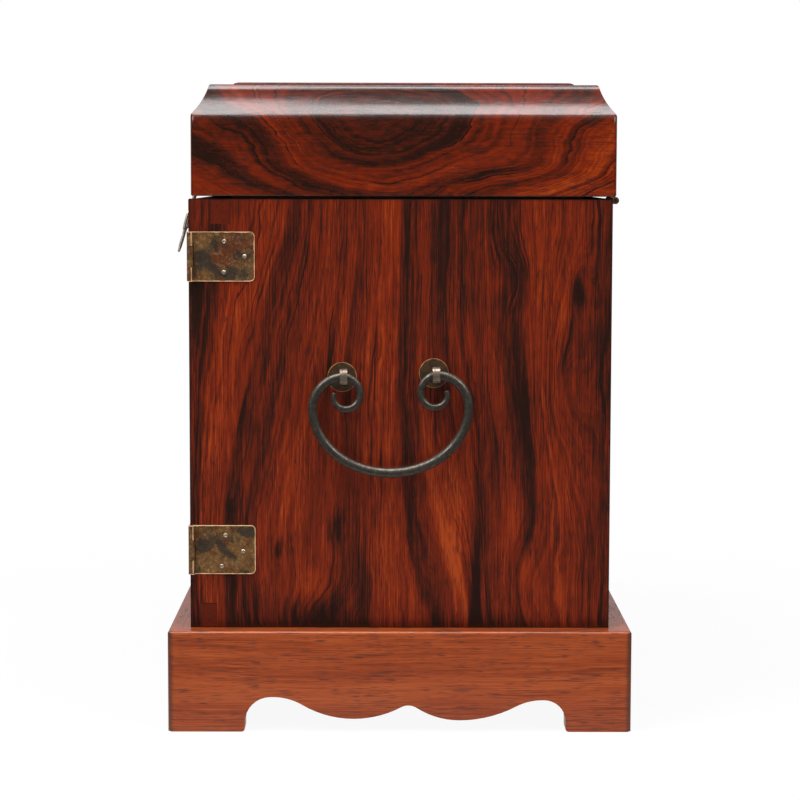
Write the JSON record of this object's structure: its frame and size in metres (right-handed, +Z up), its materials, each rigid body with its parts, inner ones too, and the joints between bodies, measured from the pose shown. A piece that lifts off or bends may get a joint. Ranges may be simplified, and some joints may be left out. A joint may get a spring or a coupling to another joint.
{
  "type": "seal chest",
  "caption": "Table-top seal chest in red-brown figured wood: coved lift-up lid, hinged doors over drawers, scrolled side handles and a shaped plinth",
  "frame": {"origin": "on the floor, below the middle of the whole footprint, hasp included", "axes": "+Z up, -Y towards the doors and the hasp, +X to the side on the right of someone who stands behind the chest and looks over it at its front, which is the side the picture shows"},
  "size_m": [0.3448, 0.2767, 0.3757],
  "materials": {
    "carcase_wood": "satin lacquered burl-figured rosewood",
    "plinth_wood": "satin lacquered, fine straight grain",
    "inner_wood": "plain, unlacquered",
    "old_brass": "mottled dark patina, worn bright rims",
    "dark_iron": "smooth, dark grey-green",
    "pale_metal": "worn"
  },
  "bodies": {
    "chest": {"left_side_panel": "carcase_wood", "right_side_panel": "carcase_wood", "back_panel": "carcase_wood", "front_bottom_rail": "carcase_wood", "tray_front_rail": "carcase_wood", "base_front_board": "plinth_wood", "base_rear_board": "plinth_wood", "base_left_board": "plinth_wood", "base_right_board": "plinth_wood", "base_corner_blocks": "inner_wood", "bottom_board": "inner_wood", "tray_board": "inner_wood", "upper_shelf": "inner_wood", "lower_shelf": "inner_wood", "upper_divider": "inner_wood", "lid_locating_strips": "inner_wood", "door_hinge_side_leaves": "old_brass", "lid_hinge_body_leaves": "old_brass", "handle_escutcheons": "old_brass", "door_hinge_pins": "dark_iron", "lid_hinge_pins": "dark_iron", "handle_staples": "pale_metal"},
    "lid": {"lid_front_board": "carcase_wood", "lid_rear_board": "carcase_wood", "lid_left_board": "carcase_wood", "lid_right_board": "carcase_wood", "lid_top_panel": "carcase_wood", "lid_hinge_lid_leaves": "old_brass", "lid_lock_plate": "old_brass", "hasp_pin": "dark_iron"},
    "hasp": {"hasp": "old_brass"},
    "right_door": {"right_door": "carcase_wood", "right_hinge_door_leaves": "old_brass", "right_door_plates": "old_brass", "right_door_staples": "old_brass"},
    "left_door": {"left_door": "carcase_wood", "left_hinge_door_leaves": "old_brass", "left_door_plates": "old_brass", "left_door_staples": "old_brass"},
    "right_door_pull": {"right_door_pull": "old_brass"},
    "left_door_pull": {"left_door_pull": "old_brass"},
    "right_handle": {"right_handle": "dark_iron"},
    "left_handle": {"left_handle": "dark_iron"},
    "top_left_drawer": {"top_left_drawer_front": "carcase_wood", "top_left_drawer_box": "inner_wood", "top_left_pull_staple": "old_brass"},
    "top_left_drawer_pull": {"top_left_drawer_pull": "old_brass"},
    "top_right_drawer": {"top_right_drawer_front": "carcase_wood", "top_right_drawer_box": "inner_wood", "top_right_pull_staple": "old_brass"},
    "top_right_drawer_pull": {"top_right_drawer_pull": "old_brass"},
    "middle_drawer": {"middle_drawer_front": "carcase_wood", "middle_drawer_box": "inner_wood", "middle_pull_staple": "old_brass"},
    "middle_drawer_pull": {"middle_drawer_pull": "old_brass"},
    "bottom_drawer": {"bottom_drawer_front": "carcase_wood", "bottom_drawer_box": "inner_wood", "bottom_pull_staple": "old_brass"},
    "bottom_drawer_pull": {"bottom_drawer_pull": "old_brass"}
  },
  "joints": [
    {"name": "lid_hinge", "type": "hinge", "parent": "chest", "child": "lid", "pos_m": [0, 0.13, 0.3075], "axis": [-1, 0, 0], "range_deg": [0, 105]},
    {"name": "right_door_hinge", "type": "hinge", "parent": "chest", "child": "right_door", "pos_m": [0.1621, -0.11725, 0.1903], "axis": [0, 0, 1], "range_deg": [0, 100]},
    {"name": "left_door_hinge", "type": "hinge", "parent": "chest", "child": "left_door", "pos_m": [-0.1621, -0.11725, 0.1903], "axis": [0, 0, -1], "range_deg": [0, 100]},
    {"name": "hasp_hinge", "type": "hinge", "parent": "lid", "child": "hasp", "pos_m": [0, -0.11995, 0.33375], "axis": [-1, 0, 0], "range_deg": [-16, 120]},
    {"name": "right_handle_swing", "type": "hinge", "parent": "chest", "child": "right_handle", "pos_m": [0.1658, -0.00215, 0.207], "axis": [0, -0.9998, -0.0209], "range_deg": [0, 170]},
    {"name": "left_handle_swing", "type": "hinge", "parent": "chest", "child": "left_handle", "pos_m": [-0.1658, -0.00215, 0.207], "axis": [0, 0.9998, 0.0209], "range_deg": [0, 170]},
    {"name": "right_door_pull_swing", "type": "hinge", "parent": "right_door", "child": "right_door_pull", "pos_m": [0.011, -0.12245, 0.1915], "axis": [-1, 0, 0], "range_deg": [0, 85]},
    {"name": "left_door_pull_swing", "type": "hinge", "parent": "left_door", "child": "left_door_pull", "pos_m": [-0.011, -0.12245, 0.1915], "axis": [-1, 0, 0], "range_deg": [0, 85]},
    {"name": "top_left_drawer_slide", "type": "slide", "parent": "chest", "child": "top_left_drawer", "axis": [0, -1, 0], "range_m": [0, 0.15]},
    {"name": "top_left_drawer_pull_swing", "type": "hinge", "parent": "top_left_drawer", "child": "top_left_drawer_pull", "pos_m": [-0.0745, -0.08945, 0.2375], "axis": [-1, 0, 0], "range_deg": [0, 85]},
    {"name": "top_right_drawer_slide", "type": "slide", "parent": "chest", "child": "top_right_drawer", "axis": [0, -1, 0], "range_m": [0, 0.15]},
    {"name": "top_right_drawer_pull_swing", "type": "hinge", "parent": "top_right_drawer", "child": "top_right_drawer_pull", "pos_m": [0.0745, -0.08945, 0.2375], "axis": [-1, 0, 0], "range_deg": [0, 85]},
    {"name": "middle_drawer_slide", "type": "slide", "parent": "chest", "child": "middle_drawer", "axis": [0, -1, 0], "range_m": [0, 0.15]},
    {"name": "middle_drawer_pull_swing", "type": "hinge", "parent": "middle_drawer", "child": "middle_drawer_pull", "pos_m": [0, -0.08945, 0.1795], "axis": [-1, 0, 0], "range_deg": [0, 85]},
    {"name": "bottom_drawer_slide", "type": "slide", "parent": "chest", "child": "bottom_drawer", "axis": [0, -1, 0], "range_m": [0, 0.15]},
    {"name": "bottom_drawer_pull_swing", "type": "hinge", "parent": "bottom_drawer", "child": "bottom_drawer_pull", "pos_m": [0, -0.08945, 0.1125], "axis": [-1, 0, 0], "range_deg": [0, 85]}
  ],
  "couplings": [
    {"joint": "right_door_hinge", "follows": "lid_hinge", "ratio": 0.95},
    {"joint": "left_door_hinge", "follows": "lid_hinge", "ratio": 0.95},
    {"joint": "top_left_drawer_slide", "follows": "lid_hinge", "m_per_rad": 0.034},
    {"joint": "top_right_drawer_slide", "follows": "lid_hinge", "m_per_rad": 0.034},
    {"joint": "middle_drawer_slide", "follows": "lid_hinge", "m_per_rad": 0.034},
    {"joint": "bottom_drawer_slide", "follows": "lid_hinge", "m_per_rad": 0.034}
  ]
}
